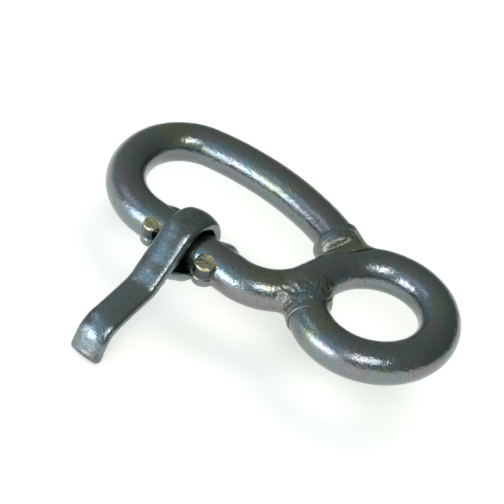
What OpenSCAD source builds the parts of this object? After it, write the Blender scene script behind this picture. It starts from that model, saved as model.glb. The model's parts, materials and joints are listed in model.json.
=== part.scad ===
// Figure-eight link bent from one round bar, with a free-turning strap lever on its front leg.
// The eye's centre is the origin, the loop lies along -X in the XY plane, and +Z is up.

/* [Bar] */
// Diameter of the round bar
bar_d = 12; // [11:0.5:13]
// Radius of the eye, to the bar's centre
eye_r = 18.5; // [17.5:0.5:20]
// Distance of the front leg's axis from the eye's centre line
leg_y = 18; // [17:0.5:19]

/* [Waist] */
// Angle that the bar turns through from the front leg into the waist
waist_turn = 78; // [74:1:80]
// Bend radius between the front leg and the waist
waist_bend_r = 15.5; // [14:0.5:17]
// Direction, seen from the eye's centre, where the closing end leaves the eye
closing_dir = 220; // [216:1:226]
// Straight length of the closing end, up to the waist
closing_len = 8; // [7:0.5:9]

/* [Loop] */
// Where the front leg ends and the far bend starts, measured from the eye's centre
far_bend_x = 67.5; // [64:0.5:72]
// Radius of the far bend's front half
far_front_r = 21; // [19:0.5:22]
// Angle of the far bend's front half
far_front_turn = 84; // [80:1:88]
// Radius of the far bend's back half
far_back_r = 16.5; // [15:0.5:18]
// Angle of the far bend's back half
far_back_turn = 83; // [80:1:86]
// Radius of the long curve of the back leg
back_leg_r = 88; // [84:1:96]
// Angle of the back leg's curve, up to the waist
back_leg_turn = 40.5; // [40:0.5:41.5]

/* [Lugs] */
// Place of the lugs next to the waist
near_lug_x = 42.2; // [41:0.1:43]
// Place of the lugs next to the far bend
far_lug_x = 62.5; // [62.5:0.1:64]
// Diameter of the outer lug next to the waist
near_lug_d = 6.2; // [5:0.1:6.6]
// Diameter of the outer lug next to the far bend
far_lug_d = 5.6; // [5:0.1:6]
// Distance from the bar's axis of the outer lug next to the waist
near_lug_out = 5.6; // [5:0.1:6]
// Distance from the bar's axis of the outer lug next to the far bend
far_lug_out = 4.9; // [4.6:0.1:6]
// Height of an outer lug's flat top above the bar's axis
lug_top = 4.4; // [4:0.1:5]
// Height of a lug
lug_h = 7; // [6:0.1:8]
// Diameter of the inner bosses
boss_d = 6.2; // [5.6:0.1:7]
// Distance of an inner boss's centre from the bar's axis
boss_in = 4.5; // [4:0.1:5]

/* [Lever] */
// Place of the lever's middle along the front leg
lever_x = 53.2; // [52.8:0.1:53.6]
// Width of the strap
lever_w = 10.2; // [9:0.1:10.4]
// Thickness of the strap
lever_t = 3.8; // [3.5:0.1:4.2]
// Radius along the strap's long edges
lever_edge_r = 1.6; // [0.8:0.1:1.7]
// How much larger the strap's eye is than the bar, on the radius
lever_gap = 0.85; // [0.8:0.05:1]
// Straight stretch that steps down from the bar
step_len = 14.5; // [13:0.1:16]
// Straight stretch of the handle
handle_len = 12.5; // [10:0.5:16]
// Straight stretch of the turned-down finger tip
tip_len = 5.4; // [4:0.1:7]

/* [Welds] */
// Width of the bead round the bar's front end
eye_bead_w = 6.4; // [5:0.1:7]
// Width of the bead round the bar's back end
leg_bead_w = 4.6; // [4:0.1:5.4]
// How far these beads stand out from the bar
bead_proud = 1.2; // [0.8:0.1:1.4]
// Diameter of the bead that closes the lever's eye
lever_bead_d = 3; // [2.4:0.1:3.4]

/* [Hidden] */
$fn = 96;
bar_r = bar_d / 2;

// Straight stretches are a hair thinner than the bends and reach a little into them,
// so that the surfaces of neighbouring stretches never coincide
inset = 0.01;
reach = 0.1;

// The waist runs straight, tangent to the eye, and meets the front leg's line
waist_tangent = [-eye_r * sin(waist_turn), eye_r * cos(waist_turn)];
waist_reach = (waist_tangent[1] + leg_y) / sin(waist_turn);
waist_corner_x = waist_tangent[0] - waist_reach * cos(waist_turn);
waist_setback = waist_bend_r * tan(waist_turn / 2);
waist_bend_x = waist_corner_x - waist_setback;
waist_len = waist_reach - waist_setback;
eye_turn = 540 - (90 - waist_turn) - closing_dir;

// Short straight between two bends of the loop
far_link_len = 0.6;

// Each stretch of the bar is [straight length, bend radius, bend angle], left bends positive
eye_run = [
    [far_bend_x + waist_bend_x, waist_bend_r, waist_turn],
    [waist_len, eye_r, -eye_turn],
    [closing_len, 0, 0]
];
loop_run = [
    [far_link_len, far_front_r, -far_front_turn],
    [far_link_len, far_back_r, -far_back_turn],
    [far_link_len, back_leg_r, -back_leg_turn]
];

// Where a run that starts at [x, y], heading in direction dir, ends: [x, y, direction]
function run_end(stretches, x, y, dir, i = 0) =
    i == len(stretches) ? [x, y, dir] :
    let (
        straight = stretches[i][0],
        r = stretches[i][1],
        turn = stretches[i][2],
        ahead = straight + r * sin(abs(turn)),
        aside = sign(turn) * r * (1 - cos(turn))
    )
    run_end(
        stretches,
        x + ahead * cos(dir) - aside * sin(dir),
        y + ahead * sin(dir) + aside * cos(dir),
        dir + turn,
        i + 1
    );

eye_end = run_end(eye_run, -far_bend_x, -leg_y, 0);
leg_end = run_end(loop_run, -far_bend_x, -leg_y, 180);
// Where the middles of the beads lie: how far back from the bar's end, how far to the left of its
// axis, and how far the bead is turned to the left
eye_bead_place = [8.4, 0.7, 25];
leg_bead_place = [9.5, -2, 0];

// Height of the inner bosses above the bar's axis
boss_up = 0.6;
// Height of the lip round the foot of an outer lug, and how far it stands out
lip_h = 3.2;
lip = 0.4;

// Lever, in the plane across the bar: +X is outward from the bar and +Y is up.
// The middle of its eye hangs a little outward and up from the bar's axis.
eye_out = 0.5;
eye_up = 0.2;
strap_r = bar_r + lever_gap + lever_t / 2;
step_dir = -43;
handle_dir = -15;
tip_dir = -63;
tuck_dir = 38;
step_bend_r = 7;
tip_bend_r = 8.5;
strap_start = step_dir + 90;
strap_finish = tuck_dir - 90;
// The tucked-in end stops inside the handle, this far short of its middle
tuck_short = 0.5;
tuck_len = strap_r * tan((strap_start - strap_finish) / 2) - tuck_short;
handle_run = [
    [step_len, step_bend_r, handle_dir - step_dir],
    [handle_len, tip_bend_r, tip_dir - handle_dir],
    [tip_len, 0, 0]
];

// Where two lines meet, each given by the direction of its normal and its distance from the origin
function meet(dir1, far1, dir2, far2) =
    let (d = sin(dir2 - dir1))
    [
        (far1 * sin(dir2) - far2 * sin(dir1)) / d,
        (far2 * cos(dir1) - far1 * cos(dir2)) / d
    ];

// The corner between the handle's underside and the tucked-in end, where their bead lies
lever_corner = meet(
    strap_start, strap_r - lever_t / 2,
    strap_finish, strap_r + lever_t / 2
);
// How much shorter the bead is than the strap's width
lever_bead_short = 2;

// One bend: a ring sector that starts at the origin heading along +X
module bend(r, angle) {
    side = sign(angle);
    translate([0, side * r, 0])
    rotate([0, 0, side > 0 ? -90 : 90 + angle])
    rotate_extrude(angle = abs(angle))
    translate([r, 0])
    children(0);
}

// A bent run of straights and bends: child 0 is the bends' section, child 1 the straights'
module run(stretches, i = 0) {
    if (i < len(stretches)) {
        straight = stretches[i][0];
        r = stretches[i][1];
        turn = stretches[i][2];
        translate([-reach, 0, 0])
        rotate([90, 0, 90])
        linear_extrude(straight + 2 * reach)
        children(1);
        translate([straight, 0, 0]) {
            if (r > 0) bend(r, turn) children(0);
            translate([r * sin(abs(turn)), sign(turn) * r * (1 - cos(turn)), 0])
            rotate([0, 0, turn])
            run(stretches, i + 1) {
                children(0);
                children(1);
            }
        }
    }
}

module bar_run(stretches) {
    run(stretches) {
        circle(d = bar_d);
        circle(d = bar_d - 2 * inset);
    }
}

// The whole bent bar: the far bend and back leg, then the front leg, waist and eye
module bar() {
    color("silver") {
        translate([-far_bend_x, -leg_y, 0]) {
            bar_run(eye_run);
            rotate([0, 0, 180]) bar_run(loop_run);
        }
    }
}

// A weld bead round the bar near the end of a run
module ring_bead(end, place, w) {
    translate([end[0], end[1], 0])
    rotate([0, 0, end[2]])
    translate([-place[0], place[1], 0])
    rotate([0, 90, place[2]])
    rotate_extrude()
    translate([bar_r + bead_proud - w / 2, 0])
    circle(d = w);
}

// The bead that closes the eye, round the bar's front end
module eye_weld() {
    color("gray")
    difference() {
        ring_bead(eye_end, eye_bead_place, eye_bead_w);
        bar();
    }
}

// The bead that joins the back leg to the waist, round the bar's back end
module leg_weld() {
    color("gray")
    difference() {
        ring_bead(leg_end, leg_bead_place, leg_bead_w);
        bar();
    }
}

// The straight front leg, which the lugs fit against, and a little beyond its far end
module front_leg_space() {
    beyond = 5;
    translate([-far_bend_x - beyond, -leg_y, 0])
    rotate([0, 90, 0])
    cylinder(d = bar_d, h = far_bend_x + waist_bend_x + beyond);
}

// A short round stud against the outside of the front leg, with a flat top and a lip round its foot
module outer_lug(x, out, d) {
    color("gainsboro")
    difference() {
        translate([-x, -leg_y - out, lug_top - lug_h]) {
            cylinder(d = d, h = lug_h);
            cylinder(d = d + 2 * lip, h = lip_h);
        }
        front_leg_space();
    }
}

// A rounded boss against the inside of the front leg
module inner_lug(x) {
    color("gainsboro")
    difference() {
        translate([-x, -leg_y + boss_in, boss_up]) sphere(d = boss_d);
        front_leg_space();
    }
}

module near_outer_lug() {
    outer_lug(near_lug_x, near_lug_out, near_lug_d);
}

module near_inner_lug() {
    inner_lug(near_lug_x);
}

module far_outer_lug() {
    outer_lug(far_lug_x, far_lug_out, far_lug_d);
}

module far_inner_lug() {
    inner_lug(far_lug_x);
}

// The strap's section, a rectangle with round corners, made smaller all round by inset_by
module strap_section(inset_by = 0) {
    t = lever_t / 2 - lever_edge_r;
    w = lever_w / 2 - lever_edge_r;
    r = lever_edge_r - inset_by;
    square([2 * (t + r), 2 * w], center = true);
    square([2 * t, 2 * (w + r)], center = true);
    for (x = [-t, t], y = [-w, w])
        translate([x, y]) circle(r);
}

module strap_run(stretches) {
    run(stretches) {
        strap_section();
        strap_section(inset);
    }
}

// Turns a shape drawn round the lever's eye (outward, up, along) into its place on the front leg
module across_bar() {
    translate([-lever_x, -leg_y, 0])
    rotate([90, 0, -90])
    translate([eye_out, eye_up, 0])
    children();
}

module lever() {
    color("lightgray")
    across_bar() {
        rotate([0, 0, strap_start])
        rotate_extrude(angle = strap_finish + 360 - strap_start)
        translate([strap_r, 0])
        strap_section();
        rotate([0, 0, strap_start])
        translate([strap_r, 0, 0])
        rotate([0, 0, step_dir - strap_start])
        strap_run(handle_run);
        rotate([0, 0, strap_finish])
        translate([strap_r, 0, 0])
        rotate([0, 0, tuck_dir - strap_finish])
        strap_run([[tuck_len, 0, 0]]);
    }
}

// The bead across the strap, where its tucked-in end meets the underside of the handle
module lever_weld() {
    w = lever_w - lever_bead_short;
    color("gray")
    difference() {
        across_bar()
        translate([lever_corner[0], lever_corner[1], -w / 2])
        cylinder(d = lever_bead_d, h = w);
        lever();
    }
}

bar();
eye_weld();
leg_weld();
near_outer_lug();
near_inner_lug();
far_outer_lug();
far_inner_lug();
lever();
lever_weld();
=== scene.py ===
import json
import math

import bpy
import numpy as np
from mathutils import Matrix, Vector, noise

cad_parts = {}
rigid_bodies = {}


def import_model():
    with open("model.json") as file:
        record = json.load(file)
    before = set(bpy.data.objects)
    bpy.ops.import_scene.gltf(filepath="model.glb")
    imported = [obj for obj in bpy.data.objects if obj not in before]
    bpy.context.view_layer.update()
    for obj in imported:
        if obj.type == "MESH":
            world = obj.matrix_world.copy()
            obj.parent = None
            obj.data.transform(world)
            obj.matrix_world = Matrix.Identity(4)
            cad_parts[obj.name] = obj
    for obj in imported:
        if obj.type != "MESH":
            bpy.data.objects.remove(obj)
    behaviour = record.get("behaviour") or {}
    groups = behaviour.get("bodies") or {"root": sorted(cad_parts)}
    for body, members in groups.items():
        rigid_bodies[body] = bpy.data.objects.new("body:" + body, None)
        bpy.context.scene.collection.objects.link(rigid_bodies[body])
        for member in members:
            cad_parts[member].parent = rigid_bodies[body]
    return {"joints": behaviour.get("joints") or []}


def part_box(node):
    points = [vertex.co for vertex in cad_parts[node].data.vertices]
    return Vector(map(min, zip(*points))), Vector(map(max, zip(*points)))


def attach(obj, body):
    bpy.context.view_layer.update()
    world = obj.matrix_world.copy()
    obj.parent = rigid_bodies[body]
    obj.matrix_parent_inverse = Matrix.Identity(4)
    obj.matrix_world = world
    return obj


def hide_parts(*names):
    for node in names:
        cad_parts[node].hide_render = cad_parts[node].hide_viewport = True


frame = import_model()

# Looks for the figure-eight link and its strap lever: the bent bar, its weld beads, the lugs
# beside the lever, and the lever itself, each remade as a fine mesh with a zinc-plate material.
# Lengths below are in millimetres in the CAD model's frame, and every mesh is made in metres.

MM = 0.001
UP = np.array([0.0, 0.0, 1.0])
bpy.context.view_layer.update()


# ---------------------------------------------------------------- dimensions, as the CAD has them

def node_box(node):
    """Lowest and highest corners of a CAD node, in millimetres."""
    low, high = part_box(node)
    return np.array(low) / MM, np.array(high) / MM


hinge = np.array(frame["joints"][0]["pos_m"]) / MM
LEG_Y = -hinge[1]
BAR_R = node_box("bar")[1][2]

EYE_R = 18.5
EYE_CLOSING_DIR = 220
EYE_CLOSING_LEN = 8
WAIST_TURN = 78
WAIST_BEND_R = 15.5
FAR_BEND_X = 67.5
FAR_LINK_LEN = 0.6
FAR_FRONT = (21, 84)
FAR_BACK = (16.5, 83)
BACK_LEG = (88, 40.5)

EYE_BEAD_W = 6.4
LEG_BEAD_W = 4.6
LEVER_BEAD_R = 1.5

STRAP_W = node_box("lever")[1][0] - node_box("lever")[0][0]
STRAP_T = 3.8
OUTER_CROWN = 1.1
INNER_CROWN = 0.3
STRAP_SIDE_FLAT = 0.2
STRAP_GAP = 0.85
STRAP_OFF = (0.5, 0.2)
STEP_DIR = -43
HANDLE_DIR = -15
TIP_DIR = -63
TUCK_DIR = 38
STEP = (14.5, 7)
HANDLE = (12.5, 8.5)
TIP_LEN = 5.4
TIP_ROUND = 1.3
TUCK_SHORT = 0.5


# ---------------------------------------------------------------- paths

def bent_path(start, heading, stretches, step):
    """Points and directions along straights and bends, each (length, bend radius, left turn)."""
    x, y = start
    h = math.radians(heading)
    points = [(x, y)]
    headings = [h]
    for length, radius, angle in stretches:
        pieces = max(1, round(length / step))
        for _ in range(pieces):
            x += length / pieces * math.cos(h)
            y += length / pieces * math.sin(h)
            points.append((x, y))
            headings.append(h)
        if radius:
            turn = math.radians(angle)
            pieces = max(2, round(abs(turn) * radius / step))
            chord = 2 * radius * math.sin(abs(turn) / pieces / 2)
            for _ in range(pieces):
                h += turn / pieces / 2
                x += chord * math.cos(h)
                y += chord * math.sin(h)
                h += turn / pieces / 2
                points.append((x, y))
                headings.append(h)
    return np.array(points), np.array(headings)


def bar_paths(step):
    """The bar's two runs, both from where the front leg meets the far bend."""
    turn = math.radians(WAIST_TURN)
    touch_x = -EYE_R * math.sin(turn)
    touch_y = EYE_R * math.cos(turn)
    reach = (touch_y + LEG_Y) / math.sin(turn)
    setback = WAIST_BEND_R * math.tan(turn / 2)
    bend_x = touch_x - reach * math.cos(turn) - setback
    eye_turn = 540 - (90 - WAIST_TURN) - EYE_CLOSING_DIR
    start = (-FAR_BEND_X, -LEG_Y)
    eye_run = [
        (FAR_BEND_X + bend_x, WAIST_BEND_R, WAIST_TURN),
        (reach - setback, EYE_R, -eye_turn),
        (EYE_CLOSING_LEN, 0, 0),
    ]
    loop_run = [
        (FAR_LINK_LEN, FAR_FRONT[0], -FAR_FRONT[1]),
        (FAR_LINK_LEN, FAR_BACK[0], -FAR_BACK[1]),
        (FAR_LINK_LEN, BACK_LEG[0], -BACK_LEG[1]),
    ]
    return bent_path(start, 0, eye_run, step), bent_path(start, 180, loop_run, step)


def flat_frames(points, headings):
    """Points, forward and left directions in space of a path in the bar's plane."""
    place = np.c_[points, np.zeros(len(points))]
    ahead = np.c_[np.cos(headings), np.sin(headings), np.zeros(len(points))]
    left = np.c_[-np.sin(headings), np.cos(headings), np.zeros(len(points))]
    return place, ahead, left


# ---------------------------------------------------------------- meshes

def make_object(name, points, faces, materials, body, replaced):
    """A smooth-shaded mesh piece from points in millimetres, on its body, instead of its CAD nodes."""
    mesh = bpy.data.meshes.new(name)
    mesh.from_pydata((np.asarray(points) * MM).tolist(), [], faces)
    mesh.validate()
    for polygon in mesh.polygons:
        polygon.use_smooth = True
    piece = bpy.data.objects.new(name, mesh)
    bpy.context.scene.collection.objects.link(piece)
    for material in materials:
        mesh.materials.append(material)
    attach(piece, body)
    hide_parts(*replaced)
    return piece


def skin(rings):
    """Points and faces of a closed tube over rings of points, ends closed by fans."""
    count, sides, _ = rings.shape
    points = rings.reshape(-1, 3).tolist()
    faces = []
    for i in range(count - 1):
        for j in range(sides):
            k = (j + 1) % sides
            faces.append((i * sides + j, i * sides + k, (i + 1) * sides + k, (i + 1) * sides + j))
    first = len(points)
    points.append(rings[0].mean(0).tolist())
    points.append(rings[-1].mean(0).tolist())
    last_ring = (count - 1) * sides
    for j in range(sides):
        k = (j + 1) % sides
        faces.append((first, k, j))
        faces.append((first + 1, last_ring + j, last_ring + k))
    return points, faces


def wave(points, size, seed=0.0):
    """Smooth noise from -1 to 1 at each point, with features of a given size in millimetres."""
    shift = Vector((seed * 7.3, seed * 3.1, seed * 5.7))
    flat = np.asarray(points).reshape(-1, 3) / size
    values = [noise.noise(Vector(p) + shift) for p in flat]
    return np.array(values).reshape(np.asarray(points).shape[:-1])


def smooth_min(a, b, reach):
    """The lesser of two distances, blended where they differ by less than reach."""
    mix = np.clip(0.5 + 0.5 * (b - a) / reach, 0, 1)
    return b + (a - b) * mix - reach * mix * (1 - mix)


def distance_to(line, points):
    """Distance of each point from a densely sampled line."""
    flat = points.reshape(-1, 3)
    best = np.empty(len(flat))
    for first in range(0, len(flat), 4000):
        part = flat[first:first + 4000]
        gaps = ((part[:, None] - line[None]) ** 2).sum(-1)
        best[first:first + 4000] = np.sqrt(gaps.min(1))
    return best.reshape(points.shape[:-1])


def first_exit(start, rays, distance, near, far, steps):
    """How far along each ray a shape's distance first turns positive, from near to far."""
    reach = np.linspace(near, far, steps)
    before = distance(start + near * rays)
    inside = before <= 0
    found = np.where(inside, far, near)
    for last, now in zip(reach[:-1], reach[1:]):
        value = distance(start + now * rays)
        crossed = inside & (before <= 0) & (value > 0)
        share = before / np.where(before == value, 1, before - value)
        found[crossed] = (last + share * (now - last))[crossed]
        inside &= ~crossed
        before = value
    return found


def drum(out, along, radius, half, edge):
    """Distance from a short round drum with rounded rims, out from its axis and along it."""
    across = out - (radius - edge)
    beyond = np.abs(along) - (half - edge)
    outside = np.hypot(np.maximum(across, 0), np.maximum(beyond, 0))
    return outside + np.minimum(np.maximum(across, beyond), 0) - edge


def smooth_step(low, high, values):
    """From 0 at low to 1 at high, with a soft start and end."""
    t = np.clip((values - low) / (high - low), 0, 1)
    return t * t * (3 - 2 * t)


# ---------------------------------------------------------------- materials

def add(tree, kind, **settings):
    """A new node with its settings."""
    node = tree.nodes.new(kind)
    for key, value in settings.items():
        setattr(node, key, value)
    return node


def noise_node(tree, place, scale, detail=2.0, roughness=0.5, distortion=0.0):
    """A noise texture in object space with features about 1 / scale metres wide."""
    node = add(tree, "ShaderNodeTexNoise")
    node.inputs["Scale"].default_value = scale
    node.inputs["Detail"].default_value = detail
    node.inputs["Roughness"].default_value = roughness
    node.inputs["Distortion"].default_value = distortion
    tree.links.new(place.outputs["Object"], node.inputs["Vector"])
    return node


def ramp_node(tree, source, stops):
    """A colour ramp over a value, given as (position, colour or grey) stops."""
    node = add(tree, "ShaderNodeValToRGB")
    ramp = node.color_ramp
    while len(ramp.elements) < len(stops):
        ramp.elements.new(0.5)
    for element, (position, colour) in zip(ramp.elements, stops):
        element.position = position
        if isinstance(colour, float):
            colour = (colour,) * 3
        element.color = (*colour, 1)
    tree.links.new(source, node.inputs["Fac"])
    return node.outputs["Color"]


def mix_colours(tree, kind, factor, a, b):
    """Two colours blended by a kind of mix, by a fixed factor."""
    node = add(tree, "ShaderNodeMix", data_type="RGBA", blend_type=kind)
    node.inputs["Factor"].default_value = factor
    tree.links.new(a, node.inputs["A"])
    tree.links.new(b, node.inputs["B"])
    return node.outputs["Result"]


def bump_node(tree, height, strength, distance, below=None):
    """A bump from a height, laid over the bump below it."""
    node = add(tree, "ShaderNodeBump")
    node.inputs["Strength"].default_value = strength
    node.inputs["Distance"].default_value = distance
    tree.links.new(height, node.inputs["Height"])
    if below is not None:
        tree.links.new(below, node.inputs["Normal"])
    return node.outputs["Normal"]


CAP_FADE = 5


def capped(tree, place, colour, cap):
    """A colour with a side darkened as painted shade, then a cream and gold end that is partly its own
    colour and partly a painted sheen, towards a cap height, by object space.
    """
    split = add(tree, "ShaderNodeSeparateXYZ")
    tree.links.new(place.outputs["Object"], split.inputs["Vector"])
    height = add(tree, "ShaderNodeMapRange")
    height.inputs["From Min"].default_value = (cap - CAP_FADE) * MM
    height.inputs["From Max"].default_value = cap * MM
    tree.links.new(split.outputs["Z"], height.inputs["Value"])
    # Painted shade: the stud's side, between its foot and its top, is darkened to stand in for the dim
    # room it reflects.
    painted_side_shade = ramp_node(tree, height.outputs["Result"], [(0.15, 1.0), (0.3, 0.35), (0.8, 0.5), (0.9, 1.0)])
    patches = noise_node(tree, place, 700, detail=3.0)
    # The cream, gold and mint top is partly the top's own colour and partly a painted sheen, brighter
    # than the plating.
    end = ramp_node(tree, patches.outputs["Fac"], [(0.36, MINT), (0.5, CREAM), (0.62, GOLD)])
    top_colour_and_sheen_mask = ramp_node(tree, height.outputs["Result"], [(0.82, 0.0), (0.92, 1.0)])
    side_shaded_colour = mix_colours(tree, "MULTIPLY", 1.0, colour, painted_side_shade)
    mixed = add(tree, "ShaderNodeMix", data_type="RGBA")
    tree.links.new(top_colour_and_sheen_mask, mixed.inputs["Factor"])
    tree.links.new(side_shaded_colour, mixed.inputs["A"])
    tree.links.new(end, mixed.inputs["B"])
    return mixed.outputs["Result"]


def zinc(name, tints, shine, grain=1.0, ripple=1.0, pits=0.3, cap=None):
    """Zinc plate: three tints in soft clouds, fine crystal grain, orange-peel ripple and small pits.

    Towards a cap height in millimetres it turns to a side darkened as painted shade, and then a gold
    and cream end that is partly its own colour and partly a painted sheen.
    """
    material = bpy.data.materials.new(name)
    material.use_nodes = True
    tree = material.node_tree
    tree.nodes.clear()
    out = add(tree, "ShaderNodeOutputMaterial")
    shader = add(tree, "ShaderNodeBsdfPrincipled")
    tree.links.new(shader.outputs["BSDF"], out.inputs["Surface"])
    shader.inputs["Metallic"].default_value = 1.0
    place = add(tree, "ShaderNodeTexCoord")

    clouds = noise_node(tree, place, 110, detail=3.0, distortion=0.5)
    base = ramp_node(tree, clouds.outputs["Fac"], [(0.38, tints[0]), (0.5, tints[1]), (0.62, tints[2])])
    mottle = noise_node(tree, place, 1500, detail=3.0)
    shade = ramp_node(tree, mottle.outputs["Fac"], [(0.32, 0.84), (0.68, 1.0)])
    spots = noise_node(tree, place, 1300, detail=0.0)
    pit = ramp_node(tree, spots.outputs["Fac"], [(0.22, 1.0 - pits), (0.28, 1.0)])
    colour = mix_colours(tree, "MULTIPLY", 1.0, base, shade)
    colour = mix_colours(tree, "MULTIPLY", 1.0, colour, pit)
    if cap:
        colour = capped(tree, place, colour, cap)
    tree.links.new(colour, shader.inputs["Base Color"])

    dull = noise_node(tree, place, 420, detail=3.0)
    rough = ramp_node(tree, dull.outputs["Fac"], [(0.3, shine[0]), (0.7, shine[1])])
    tree.links.new(rough, shader.inputs["Roughness"])

    crystals = noise_node(tree, place, 2400, detail=2.0)
    peel = noise_node(tree, place, 1000, detail=1.0)
    swell = noise_node(tree, place, 240, detail=1.0)
    normal = bump_node(tree, swell.outputs["Fac"], 0.5 * ripple, 0.0003)
    normal = bump_node(tree, peel.outputs["Fac"], 0.8 * ripple, 0.0001, normal)
    normal = bump_node(tree, crystals.outputs["Fac"], grain, 0.00008, normal)
    normal = bump_node(tree, pit, 0.5, 0.00006, normal)
    tree.links.new(normal, shader.inputs["Normal"])
    return material


OLIVE = (0.245, 0.262, 0.205)
STEEL = (0.205, 0.258, 0.278)
ROSE = (0.250, 0.240, 0.250)
SLATE = (0.225, 0.250, 0.245)
BROWN = (0.245, 0.235, 0.215)
SOOT = (0.180, 0.180, 0.170)
# CREAM, GOLD and MINT colour the lugs' tops, partly their own colour and partly a painted sheen.
CREAM = (0.62, 0.60, 0.44)
GOLD = (0.66, 0.46, 0.22)
MINT = (0.42, 0.50, 0.40)

zinc_bar = zinc("zinc_bar", (OLIVE, STEEL, ROSE), (0.12, 0.24), grain=0.9)
zinc_strap = zinc("zinc_strap", (SOOT, STEEL, SLATE), (0.15, 0.26), grain=0.8, ripple=0.6)
zinc_weld = zinc("zinc_weld", (OLIVE, BROWN, STEEL), (0.24, 0.40), grain=1.6, ripple=1.2)
zinc_boss = zinc("zinc_boss", (OLIVE, STEEL, ROSE), (0.14, 0.26))
# The lugs' material carries a painted shade on the stud's side and a partly painted sheen on its top.
zinc_lug = zinc("zinc_lug", (OLIVE, STEEL, ROSE), (0.14, 0.26), cap=node_box("near_outer_lug")[1][2])


# ---------------------------------------------------------------- the bar

BAR_SIDES = 72
PATH_STEP = 0.5
END_SHORT = 3.5
eye_path, loop_path = bar_paths(PATH_STEP)
eye_place, eye_ahead, eye_left = flat_frames(*eye_path)
loop_place, loop_ahead, loop_left = flat_frames(*loop_path)


def make_bar():
    """The bar in one sweep, from its back end round the loop, waist and eye to its front end."""
    short = round(END_SHORT / PATH_STEP)
    place = np.r_[loop_place[:-short][::-1], eye_place[1:-short]]
    left = np.r_[-loop_left[:-short][::-1], eye_left[1:-short]]
    around = np.linspace(0, 2 * np.pi, BAR_SIDES, endpoint=False)
    out = np.cos(around)[None, :, None] * left[:, None] + np.sin(around)[None, :, None] * UP
    plain = place[:, None] + BAR_R * out
    dents = 0.05 * wave(plain, 14, 1) + 0.022 * wave(plain, 4.5, 2) - 0.04
    rings = place[:, None] + (BAR_R + dents)[..., None] * out
    points, faces = skin(rings)
    piece = make_object("bent_bar", points, faces, [zinc_bar], "link", ["bar"])


make_bar()


# ---------------------------------------------------------------- weld beads

BEAD_MARGIN = 0.5
BEAD_EDGE_R = 1.6
BEAD_REACH = 3.6
RIPPLE_PITCH = 1.5
UNDER = 0.12


def make_bead(
    name, node, run, other, back, width, slant, aside, bulge, rough, fillet, seed, spatter=(),
):
    """A weld bead round the end of a run, filled out to the bar that it is welded to.

    run is the run's (points, ahead, left), and other is the sampled line of the bar next to it.
    bulge is how far the bead stands out, rough how uneven it is, and fillet how far it blends.
    The bead's middle lies back from the end, slant further back on the left than on top, and
    the whole bead sits aside to the left of the run's axis. spatter gives drops of weld metal
    by their middle and radius.
    """
    place, ahead, left = run
    end, along, leftward = place[-1], ahead[-1], left[-1]
    rows, sides = 84, 190
    back_from_end = np.linspace(BEAD_MARGIN, back + width / 2 + abs(slant) + BEAD_MARGIN, rows)
    around = np.linspace(0, 2 * np.pi, sides, endpoint=False)
    out = np.cos(around)[:, None] * leftward + np.sin(around)[:, None] * UP
    axis = end - back_from_end[:, None, None] * along
    surface = axis + BAR_R * out[None]
    wander = 0.5 * rough * wave(surface[:1], 5.0, seed)
    middle = back + slant * np.cos(around)[None] + wander
    shift = back_from_end[:, None] - middle
    across = shift / (width / 2)
    window = np.clip(1 - (across / 1.5) ** 2, 0, 1)
    travel = around[None] * BAR_R / RIPPLE_PITCH + 0.8 * across ** 2
    travel = travel + 0.7 * wave(surface, 4.0, seed + 1)
    lumps = 0.07 * np.sin(2 * np.pi * travel) + 0.34 * wave(surface, 2.4, seed + 2)
    lumps = lumps + 0.20 * wave(surface, 1.0, seed + 3)
    lumps = lumps * (0.3 + 0.7 * smooth_step(-1, 4, surface[..., 2]))

    def distance(spots):
        offset = spots - axis
        flat = offset @ leftward - aside
        out_from_run = np.hypot(offset @ leftward, offset[..., 2])
        bead = drum(np.hypot(flat, offset[..., 2]), shift, BAR_R + bulge, width / 2, BEAD_EDGE_R)
        bead = smooth_min(bead, out_from_run - (BAR_R - UNDER), 0.8)
        rest = distance_to(other, spots) - (BAR_R - UNDER)
        whole = smooth_min(bead, rest, fillet) - rough * lumps * window
        for x, y, z, radius in spatter:
            drop = np.linalg.norm(spots - np.array([x, y, z]), axis=-1) - radius
            whole = smooth_min(whole, drop, 0.3)
        return whole

    rays = np.broadcast_to(out, surface.shape)
    found = first_exit(axis, rays, distance, BAR_R - 2.0, BAR_R + BEAD_REACH, 40)
    rings = axis + found[..., None] * out[None]
    points, faces = skin(rings)
    piece = make_object(name, points, faces, [zinc_weld], "link", [node])


def nearby(line, centre, reach):
    """The part of a sampled line within reach of a point."""
    return line[np.linalg.norm(line - centre, axis=1) < reach]


fine_eye_place = flat_frames(*bar_paths(PATH_STEP / 2)[0])[0]
front_half = fine_eye_place[:int(len(fine_eye_place) * 0.55)]

make_bead(
    "eye_weld_bead", "eye_weld", (eye_place, eye_ahead, eye_left),
    nearby(front_half, eye_place[-1], 30), back=6.8, width=EYE_BEAD_W + 1.2, slant=2.4, aside=-0.4,
    bulge=0.5, rough=1.0, fillet=4.2, seed=51,
    spatter=[
        (-20.3, -17.5, 1.8, 0.6), (-22.4, -18.2, 3.6, 0.7), (-18.8, -16.2, 0.4, 0.5),
        (-21.4, -17.9, 2.4, 0.5), (-21.0, -16.6, 3.4, 0.6),
    ],
)
make_bead(
    "leg_weld_bead", "leg_weld", (loop_place, loop_ahead, loop_left),
    nearby(front_half, loop_place[-1], 30), back=6.8, width=LEG_BEAD_W + 1.2, slant=-1.6, aside=-2.0,
    bulge=1.0, rough=0.45, fillet=2.4, seed=61,
)


# ---------------------------------------------------------------- lugs

LUG_LIP = 0.4
LUG_LIP_H = 3.2
LUG_TOP_EDGE_R = 0.7
LUG_FOOT_EDGE_R = 1.1


def ball_directions(rows, sides):
    """Directions over a ball, in rings from bottom to top."""
    tilt = np.linspace(-np.pi / 2, np.pi / 2, rows + 2)[1:-1]
    around = np.linspace(0, 2 * np.pi, sides, endpoint=False)
    flat = np.cos(tilt)[:, None]
    return np.stack([
        flat * np.cos(around),
        flat * np.sin(around),
        np.sin(tilt)[:, None] * np.ones(sides),
    ], -1)


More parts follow.
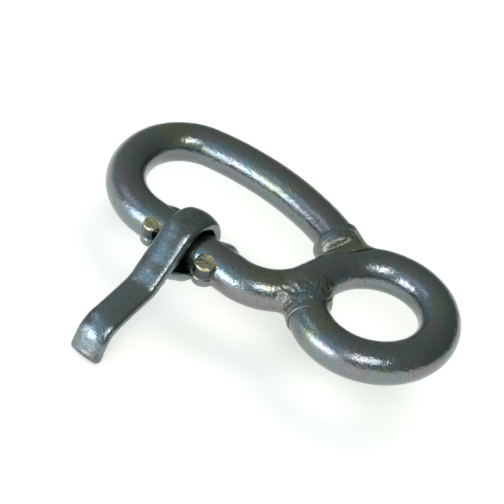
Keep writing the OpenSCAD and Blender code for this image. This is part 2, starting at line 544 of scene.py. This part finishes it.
def make_lug(name, node, centre, shape, rough, most, blend, material):
    """A lug that flows into the front leg.

    shape gives the distance of points from its own surface, and rough how far the finished
    surface stands out at each point. most is the longest ray from the centre.
    """
    rays = ball_directions(96, 128)

    def distance(spots):
        rest = np.hypot(spots[..., 1] + LEG_Y, spots[..., 2]) - (BAR_R - UNDER)
        return smooth_min(shape(spots), rest, blend)

    found = first_exit(centre, rays, distance, 0.1, most, 70)
    spots = centre + found[..., None] * rays
    found = found + rough(spots)
    rings = centre + found[..., None] * rays
    points, faces = skin(rings)
    piece = make_object(name, points, faces, [material], "link", [node])


def stud_shape(x, y, low, high, radius, lip, lip_top):
    """Distance from a short round stud with a swollen foot."""
    def shape(spots):
        out = np.hypot(spots[..., 0] - x, spots[..., 1] - y)
        up_stud = spots[..., 2] - (low + high) / 2
        up_foot = spots[..., 2] - (low + lip_top) / 2
        stud = drum(out, up_stud, radius, (high - low) / 2, LUG_TOP_EDGE_R)
        foot = drum(out, up_foot, radius + lip, (lip_top - low) / 2, LUG_FOOT_EDGE_R)
        return np.minimum(stud, foot)
    return shape


def outer_lug(name, node, seed):
    """A short stud with a swollen foot and a pitted top, sized from its CAD node's box."""
    low, high = node_box(node)
    radius = (high[0] - low[0]) / 2 - LUG_LIP
    x = (low[0] + high[0]) / 2
    y = low[1] + LUG_LIP + radius
    shape = stud_shape(x, y, low[2], high[2], radius, LUG_LIP, low[2] + LUG_LIP_H)
    centre = np.array([x, y, (low[2] + high[2]) / 2])

    def rough(spots):
        on_top = smooth_step(high[2] - 0.8, high[2] - 0.2, spots[..., 2])
        pitting = 0.14 * wave(spots, 1.2, seed) + 0.10 * wave(spots, 0.6, seed + 1)
        return pitting * (0.2 + on_top) - 0.03

    make_lug(name, node, centre, shape, rough, 5.2, 1.0, zinc_lug)


def inner_lug(name, node, seed):
    """A low rounded boss, sized from its CAD node's box."""
    low, high = node_box(node)
    radius = (high[2] - low[2]) / 2
    centre = np.array([(low[0] + high[0]) / 2, high[1] - radius, (low[2] + high[2]) / 2])

    def shape(spots):
        return np.linalg.norm(spots - centre, axis=-1) - radius

    def rough(spots):
        return 0.06 * wave(spots, 2.0, seed)

    make_lug(name, node, centre, shape, rough, radius + 1.2, 2.4, zinc_boss)


outer_lug("near_lug_stud", "near_outer_lug", 11)
outer_lug("far_lug_stud", "far_outer_lug", 15)
inner_lug("near_lug_boss", "near_inner_lug", 19)
inner_lug("far_lug_boss", "far_inner_lug", 23)


# ---------------------------------------------------------------- the lever

def strap_section(width, thickness, edge, corner_points=7, flat_points=9):
    """A rectangle with round corners as (across its thickness, along its width) points."""
    half_t = thickness / 2 - edge
    half_w = width / 2 - edge
    points = []
    corners = [
        (half_t, half_w, 0), (-half_t, half_w, 90), (-half_t, -half_w, 180), (half_t, -half_w, 270),
    ]
    for index, (t, w, first) in enumerate(corners):
        for angle in np.radians(np.linspace(first, first + 90, corner_points)):
            points.append((t + edge * math.cos(angle), w + edge * math.sin(angle)))
        nt, nw, _ = corners[(index + 1) % 4]
        if index % 2 == 1:
            angle = math.radians(first + 90)
            a = np.array([t + edge * math.cos(angle), w + edge * math.sin(angle)])
            b = np.array([nt + edge * math.cos(angle), nw + edge * math.sin(angle)])
            for share in np.linspace(0, 1, flat_points + 2)[1:-1]:
                points.append(tuple(a + share * (b - a)))
    return np.array(points)


def across_bar(points):
    """(outward, up, along) from the bar's axis at the lever, to the model's frame."""
    points = np.asarray(points)
    return np.stack([
        hinge[0] - points[..., 2],
        hinge[1] - points[..., 0],
        points[..., 1] + 0 * points[..., 0],
    ], -1)


def heading_vector(degrees):
    """A unit vector along a heading."""
    return np.array([math.cos(math.radians(degrees)), math.sin(math.radians(degrees))])


def strap_rings(points, headings, widths, thicknesses, round_end):
    """Rings of the strap's crowned section along a path, the last ones drawn in to round its end."""
    rings = []
    for (a, b), h, w, t in zip(points, headings, widths, thicknesses):
        flat_t = t - OUTER_CROWN - INNER_CROWN
        section = strap_section(w, flat_t, flat_t / 2 - STRAP_SIDE_FLAT / 2)
        crown = np.where(section[:, 0] > 0, OUTER_CROWN, -INNER_CROWN)
        section[:, 0] += crown * (1 - (section[:, 1] / (w / 2)) ** 2)
        section[:, 0] -= (OUTER_CROWN - INNER_CROWN) / 2
        side = np.array([-math.sin(h), math.cos(h)])
        place = np.array([a, b]) + section[:, :1] * side
        rings.append(np.c_[place, section[:, 1]])
    end, h = points[-1], headings[-1]
    side = np.array([-math.sin(h), math.cos(h)])
    onward = np.array([math.cos(h), math.sin(h)])
    ring = rings[-1] - np.r_[end, 0.0]
    for angle in np.radians(np.linspace(12, 84, 7)):
        shrink_t = 1 - (1 - math.cos(angle)) * round_end / (thicknesses[-1] / 2)
        shrink_w = 1 - (1 - math.cos(angle)) * round_end / (widths[-1] / 2)
        t_part = ring[:, :2] @ side
        place = end + np.outer(t_part * shrink_t, side) + onward * round_end * math.sin(angle)
        rings.append(np.c_[place, ring[:, 2] * shrink_w])
    return np.array(rings)


def make_lever():
    """The strap in one sweep: tucked-in end, eye round the bar, step, handle and turned-down tip."""
    mid = BAR_R + STRAP_GAP + STRAP_T / 2
    start = STEP_DIR + 90
    finish = TUCK_DIR - 90
    tuck = mid * math.tan(math.radians(start - finish) / 2) - TUCK_SHORT
    eye_turn = finish + 360 - start
    tuck_end = mid * heading_vector(finish) + tuck * heading_vector(TUCK_DIR)
    stretches = [
        (tuck, mid, -eye_turn),
        (STEP[0], STEP[1], HANDLE_DIR - STEP_DIR),
        (HANDLE[0], HANDLE[1], TIP_DIR - HANDLE_DIR),
        (TIP_LEN - TIP_ROUND, 0, 0),
    ]
    points, headings = bent_path(tuck_end, TUCK_DIR + 180, stretches, 0.4)
    points = points + np.array(STRAP_OFF)
    steps = np.r_[0, np.cumsum(np.linalg.norm(np.diff(points, axis=0), axis=1))]
    to_tip = steps[-1] - steps
    flare = 1 - smooth_step(0, 14, to_tip)
    narrow = np.exp(-((to_tip - 20) / 7) ** 2)
    widths = STRAP_W * (0.975 + 0.045 * flare - 0.02 * narrow)
    thicknesses = STRAP_T * (1 - 0.10 * flare)
    rings = strap_rings(points, headings, widths, thicknesses, TIP_ROUND)
    middles = rings.mean(1, keepdims=True)
    out = rings - middles
    out = out / np.linalg.norm(out, axis=-1, keepdims=True)
    near_tip = np.r_[1 - smooth_step(6, 16, to_tip), np.ones(len(rings) - len(points))][:, None]
    bumps = 0.05 * wave(rings, 9, 31) + 0.02 * wave(rings, 3, 32)
    bumps = bumps + near_tip * 0.26 * wave(rings, 3.0, 33)
    rings = rings + (bumps - 0.04)[..., None] * out
    points, faces = skin(across_bar(rings))
    piece = make_object("strap_lever", points, faces, [zinc_strap], "lever", ["lever"])


make_lever()


def make_lever_weld():
    """The uneven rod of weld where the strap's tucked-in end meets the underside of its step."""
    low, high = node_box("lever_weld")
    centre = (low + high) / 2
    half = (high[0] - low[0]) / 2
    rows, sides = 60, 32
    along = np.linspace(-1, 1, rows)
    around = np.linspace(0, 2 * np.pi, sides, endpoint=False)
    radius = LEVER_BEAD_R * (1 - np.abs(along) ** 6) ** 0.5
    core = np.stack([centre[0] + half * along, 0 * along + centre[1], 0 * along + centre[2]], -1)
    out = np.stack([0 * around, np.cos(around), np.sin(around)], -1)
    plain = core[:, None] + radius[:, None, None] * out
    unevenness = 0.12 * wave(plain, 1.5, 41)[..., None] * radius[:, None, None] * out / LEVER_BEAD_R
    points, faces = skin(plain + unevenness)
    piece = make_object("lever_weld_bead", points, faces, [zinc_weld], "lever", ["lever_weld"])


make_lever_weld()


# ---------------------------------------------------------------- camera, floor and light

# The floor's half width and its gap below the model are in metres, as are the lights' sizes and
# distances. The floor falls towards FLOOR_LEAN and rises on the lever's side. That is not the way
# the link rests: only the lever's tip touches this floor, and the bar stands about 17 mm over it.
CAMERA_PLACE = (162.4, -316.3, 333.7)
CAMERA_AIM = (-34.2, -13.8, 7.8)
CAMERA_ROLL = 10.98
CAMERA_LENS = 126.0
FLOOR_TILT = 9.3
FLOOR_LEAN = (0.317, 0.95)
FLOOR_HALF = 3.0
FLOOR_GAP = 0.00005


def look_matrix(place, aim, roll):
    """Placing for something at a place that looks at aim, rolled by some degrees."""
    back = (Vector(place) - Vector(aim)).normalized()
    right = Vector((0, 0, 1)).cross(back).normalized()
    up = back.cross(right)
    turn = Matrix((right, up, back)).transposed() @ Matrix.Rotation(math.radians(roll), 3, "Z")
    matrix = turn.to_4x4()
    matrix.translation = Vector(place)
    return matrix


def make_camera():
    """The scene's camera, looking down on the link from the lever's side."""
    data = bpy.data.cameras.new("camera")
    data.lens = CAMERA_LENS
    data.sensor_width = 36
    data.clip_start = 0.01
    camera = bpy.data.objects.new("camera", data)
    bpy.context.scene.collection.objects.link(camera)
    camera.matrix_world = look_matrix(Vector(CAMERA_PLACE) * MM, Vector(CAMERA_AIM) * MM, CAMERA_ROLL)
    bpy.context.scene.camera = camera
    return camera


camera = make_camera()
tilt = math.radians(FLOOR_TILT)
lean = Vector((*FLOOR_LEAN, 0)).normalized()
floor_up = (lean * math.sin(tilt) + Vector((0, 0, 1)) * math.cos(tilt)).normalized()


def pale_floor():
    """A plain pale material that also gives off a little cream light."""
    material = bpy.data.materials.new("pale_floor")
    material.use_nodes = True
    tree = material.node_tree
    shader = tree.nodes["Principled BSDF"]
    place = add(tree, "ShaderNodeTexCoord")
    grain = noise_node(tree, place, 60, detail=3.0)
    greys = [(0.3, (0.84, 0.84, 0.83)), (0.7, (0.86, 0.86, 0.85))]
    colour = ramp_node(tree, grain.outputs["Fac"], greys)
    tree.links.new(colour, shader.inputs["Base Color"])
    shader.inputs["Roughness"].default_value = 0.45
    shader.inputs["Emission Color"].default_value = (1, 0.985, 0.91, 1)
    shader.inputs["Emission Strength"].default_value = 0.44
    return material


def make_floor():
    """A pale tilted floor, just under the model's lowest point, which is the lever's tip."""
    lowest = min(
        floor_up.dot(o.matrix_world @ v.co)
        for o in bpy.data.objects if o.type == "MESH" and not o.hide_render
        for v in o.data.vertices
    )
    turn = Vector((0, 0, 1)).rotation_difference(floor_up).to_matrix()
    height = floor_up * (lowest - FLOOR_GAP)
    corners = [(-1, -1), (1, -1), (1, 1), (-1, 1)]
    places = [turn @ Vector((x * FLOOR_HALF, y * FLOOR_HALF, 0)) + height for x, y in corners]
    mesh = bpy.data.meshes.new("floor")
    mesh.from_pydata(places, [], [(0, 1, 2, 3)])
    floor = bpy.data.objects.new("floor", mesh)
    bpy.context.scene.collection.objects.link(floor)
    mesh.materials.append(pale_floor())


make_floor()

ahead = -(camera.matrix_world.to_3x3() @ Vector((0, 0, 1)))
ahead = (ahead - floor_up * ahead.dot(floor_up)).normalized()
rightward = ahead.cross(floor_up)
aim = Vector(CAMERA_AIM) * MM


def make_light(name, turn, height, distance, size, radiance, colour, round_light=False, in_gloss=True):
    """A soft light seen from the model turn degrees right of ahead and height degrees up."""
    turn = math.radians(turn)
    height = math.radians(height)
    flat = ahead * math.cos(turn) + rightward * math.sin(turn)
    place = aim + (flat * math.cos(height) + floor_up * math.sin(height)) * distance
    data = bpy.data.lights.new(name, "AREA")
    data.shape = "ELLIPSE" if round_light else "RECTANGLE"
    data.size, data.size_y = size
    area = size[0] * size[1] * (math.pi / 4 if round_light else 1)
    data.energy = radiance * area * math.pi
    data.color = colour
    light = bpy.data.objects.new(name, data)
    bpy.context.scene.collection.objects.link(light)
    back = (place - aim).normalized()
    right = floor_up.cross(back).normalized()
    matrix = Matrix((right, back.cross(right), back)).transposed().to_4x4()
    matrix.translation = place
    light.matrix_world = matrix
    light.visible_camera = False
    light.visible_glossy = in_gloss


make_light("window", -129, 7, 1.3, (0.92, 0.50), 6.2, (0.84, 0.90, 1.0))
make_light("front_lamp", 180, 43, 1.3, (0.50, 0.56), 7.2, (1.0, 0.98, 1.0), round_light=True)
make_light("side_lamp", -87, 36, 1.3, (0.26, 0.18), 3.2, (0.75, 0.88, 1.0), round_light=True)
make_light("sky_panel", -122, 36, 1.4, (1.2, 0.7), 0.45, (0.42, 0.76, 1.0), round_light=True)
make_light("floor_fill", 60, 78, 1.5, (1.0, 1.0), 2.2, (1.0, 0.99, 0.97), in_gloss=False)


def set_world():
    """A dim studio round the model, lighter on the window's side."""
    world = bpy.data.worlds.new("studio")
    bpy.context.scene.world = world
    world.use_nodes = True
    tree = world.node_tree
    tree.nodes.clear()
    out = add(tree, "ShaderNodeOutputWorld")
    background = add(tree, "ShaderNodeBackground")
    place = add(tree, "ShaderNodeTexCoord")
    facing = add(tree, "ShaderNodeVectorMath", operation="DOT_PRODUCT")
    turn = math.radians(-120)
    bright_side = ahead * math.cos(turn) + rightward * math.sin(turn)
    facing.inputs[1].default_value = bright_side
    tree.links.new(place.outputs["Generated"], facing.inputs[0])
    lift = add(tree, "ShaderNodeMapRange")
    lift.inputs["From Min"].default_value = -1
    tree.links.new(facing.outputs["Value"], lift.inputs["Value"])
    colour = ramp_node(tree, lift.outputs["Result"], [
        (0.0, (0.14, 0.18, 0.165)), (0.5, (0.31, 0.34, 0.30)), (1.0, (0.44, 0.55, 0.62)),
    ])
    tree.links.new(colour, background.inputs["Color"])
    tree.links.new(background.outputs["Background"], out.inputs["Surface"])


set_world()
bpy.context.scene.view_settings.view_transform = "Standard"
